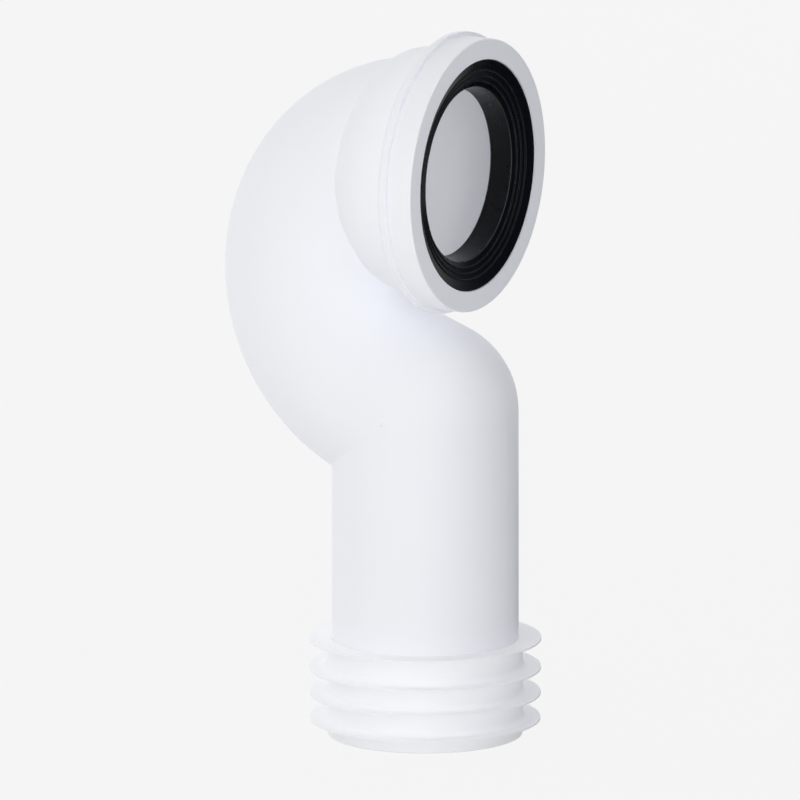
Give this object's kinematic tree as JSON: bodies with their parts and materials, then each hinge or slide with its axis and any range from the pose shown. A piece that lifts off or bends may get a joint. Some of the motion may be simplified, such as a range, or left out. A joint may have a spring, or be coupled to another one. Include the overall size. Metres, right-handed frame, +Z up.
{
  "type": "toilet pan connector",
  "caption": "Swan-neck toilet pan connector: a ribbed lip seal in the mouth grips the pan's outlet, and a finned spigot seals in the bore of a drain.",
  "frame": {"origin": "middle of the spigot's lower end, on the floor that it stands on", "axes": "+Z up the spigot, +X out of the mouth towards the pan, so the part is alike on both sides of the XZ plane"},
  "size_m": [0.169, 0.1444, 0.3658],
  "materials": {
    "white_moulding": "satin moulded polypropylene",
    "black_rubber": "smooth moulded rubber",
    "white_rubber": "smooth soft rubber"
  },
  "bodies": {
    "root": {"pipe_body": "white_moulding", "retaining_ring": "white_moulding", "pan_seal": "black_rubber", "fin_seal": "white_rubber"}
  },
  "joints": []
}
